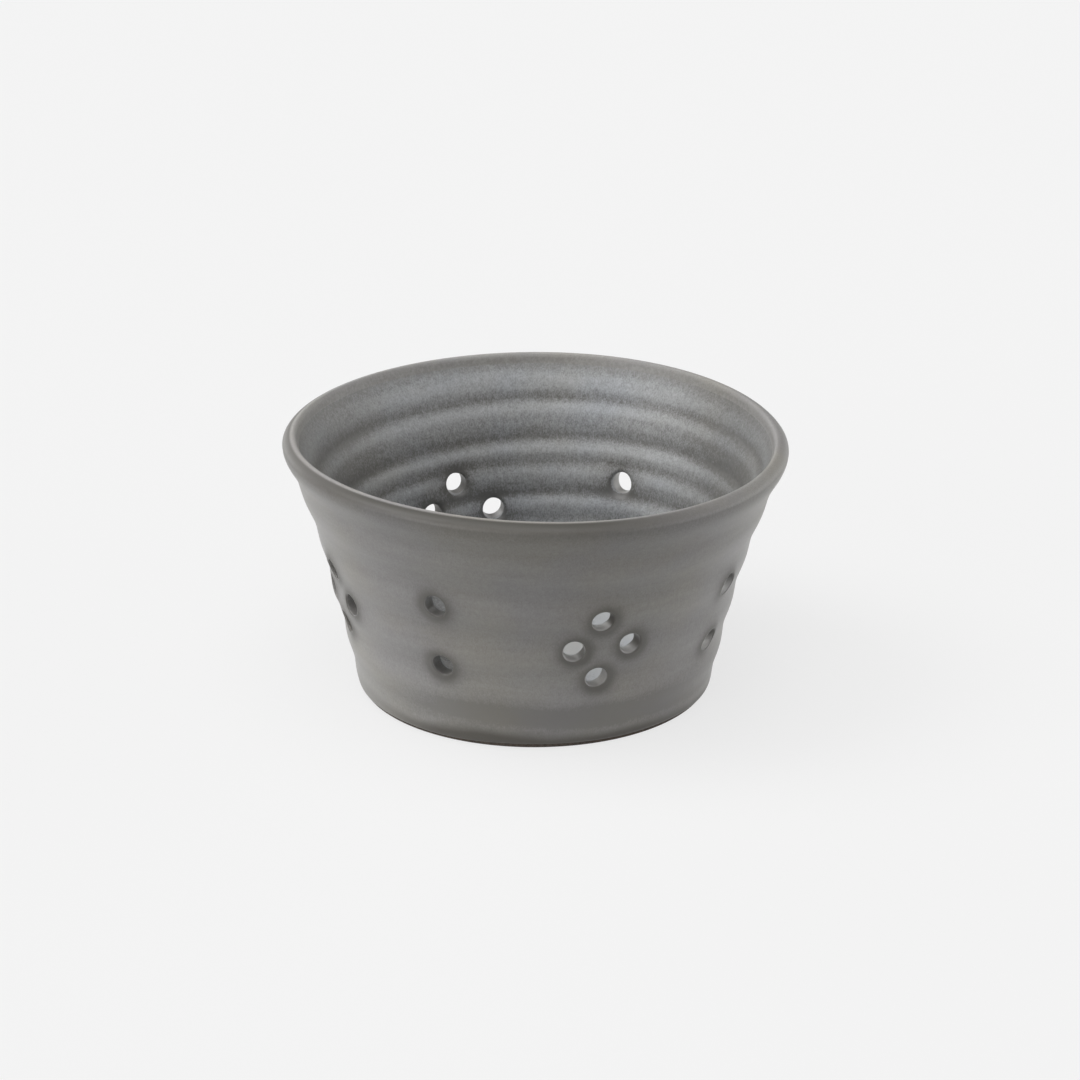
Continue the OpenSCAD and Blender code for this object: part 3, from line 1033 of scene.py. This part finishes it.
def make_floor():
    """A plain pale floor that reaches past every view's edge. Seen straight on, or in the glaze, it is
    nearly white with a faint shadow. The soft light that it throws back at the bowl is dark in front,
    where the room is."""
    mesh = bpy.data.meshes.new("pale_floor")
    corners = ((-1, -1), (1, -1), (1, 1), (-1, 1))
    points = [(x * FLOOR_HALF, y * FLOOR_HALF, -FLOOR_DROP) for x, y in corners]
    mesh.from_pydata(points, [], [(0, 1, 2, 3)])
    floor = bpy.data.objects.new("pale_floor", mesh)
    bpy.context.collection.objects.link(floor)
    material, t = start_material("pale_floor")
    back = t.axis(t.place_on(), "Y")
    paper = t.add("ShaderNodeBsdfDiffuse", {"Color": t.ramp(back, -0.14, 0.0, 0.08, 0.9)})
    pale = t.add("ShaderNodeBsdfDiffuse", {"Color": colour(FLOOR_SHADED, FLOOR_SHADED, FLOOR_SHADED)})
    glow = t.add("ShaderNodeEmission", {"Color": colour(1, 1, 1), "Strength": FLOOR_GLOW})
    bright = t.add("ShaderNodeAddShader", {0: pale.outputs[0], 1: glow.outputs[0]})
    path = t.add("ShaderNodeLightPath").outputs
    seen = t.math("MAXIMUM", path["Is Camera Ray"], path["Is Glossy Ray"])
    shader = t.add("ShaderNodeMixShader", {0: seen, 1: paper.outputs[0], 2: bright.outputs[0]})
    t.add("ShaderNodeOutputMaterial", {"Surface": shader.outputs[0]})
    mesh.materials.append(material)


# The dim room's own light, and soft panels of light as (degrees round from the front, degrees up, half
# width in degrees, strength)
ROOM_LIGHT = 0.01
PANELS = (
    (-30, 8, 30, 1.6), (-60, 8, 30, 2.1), (-90, 51, 25, 4.8), (-150, 8, 30, 1.8),
    (60, 8, 30, 1.0), (90, 8, 30, 1.6), (120, 8, 30, 1.3), (0, 60, 32, 1.5), (0, 90, 32, 1.6),
)


def make_light():
    """A dim room with soft panels, the strongest high at the left. Low ones stand in front, behind the
    left shoulder and at the right, and one hangs overhead. Each is brightest in its middle and fades to
    its edge. The glaze mirrors a white backdrop that rises behind the floor."""
    world = bpy.data.worlds.new("studio")
    bpy.context.scene.world = world
    world.use_nodes = True
    world.node_tree.nodes.clear()
    t = Tree(world.node_tree)
    towards = t.add("ShaderNodeTexCoord").outputs["Generated"]
    strength = ROOM_LIGHT
    for turn, height, half_width, power in PANELS:
        turn, height = math.radians(turn), math.radians(height)
        level = math.cos(height)
        middle = (math.sin(turn) * level, -math.cos(turn) * level, math.sin(height))
        near = t.add("ShaderNodeVectorMath", {0: towards, 1: middle}, operation="DOT_PRODUCT").outputs["Value"]
        panel = t.ramp(near, math.cos(math.radians(half_width)), 1.0, 0.0, power)
        strength = t.math("ADD", panel, strength)
    low, behind = t.ramp(t.axis(towards, "Z"), 0.0, 0.5, 0.85, 0.0), t.ramp(t.axis(towards, "Y"), 0.3, 0.8)
    backdrop = t.times(low, behind)
    mirrored = t.add("ShaderNodeLightPath").outputs["Is Glossy Ray"]
    strength = t.math("MULTIPLY_ADD", backdrop, mirrored, strength)
    background = t.add("ShaderNodeBackground", {"Color": colour(1, 1, 1), "Strength": strength})
    t.add("ShaderNodeOutputWorld", {"Surface": background.outputs[0]})


bpy.context.scene.view_settings.view_transform = "Standard"
make_camera()
make_light()
make_floor()
glaze_group = make_glaze_group()
for maker, slot, material in (
    (make_clay, "bare_clay", make_clay_material()),
    (lambda: make_coat("inside_glaze", "liner_glaze", LINER), "liner_glaze", make_liner_material(glaze_group)),
    (lambda: make_coat("outside_glaze", "outer_glaze", OUTER), "outer_glaze", make_outer_material(glaze_group)),
):
    made = maker()
    made.data.materials.append(material)
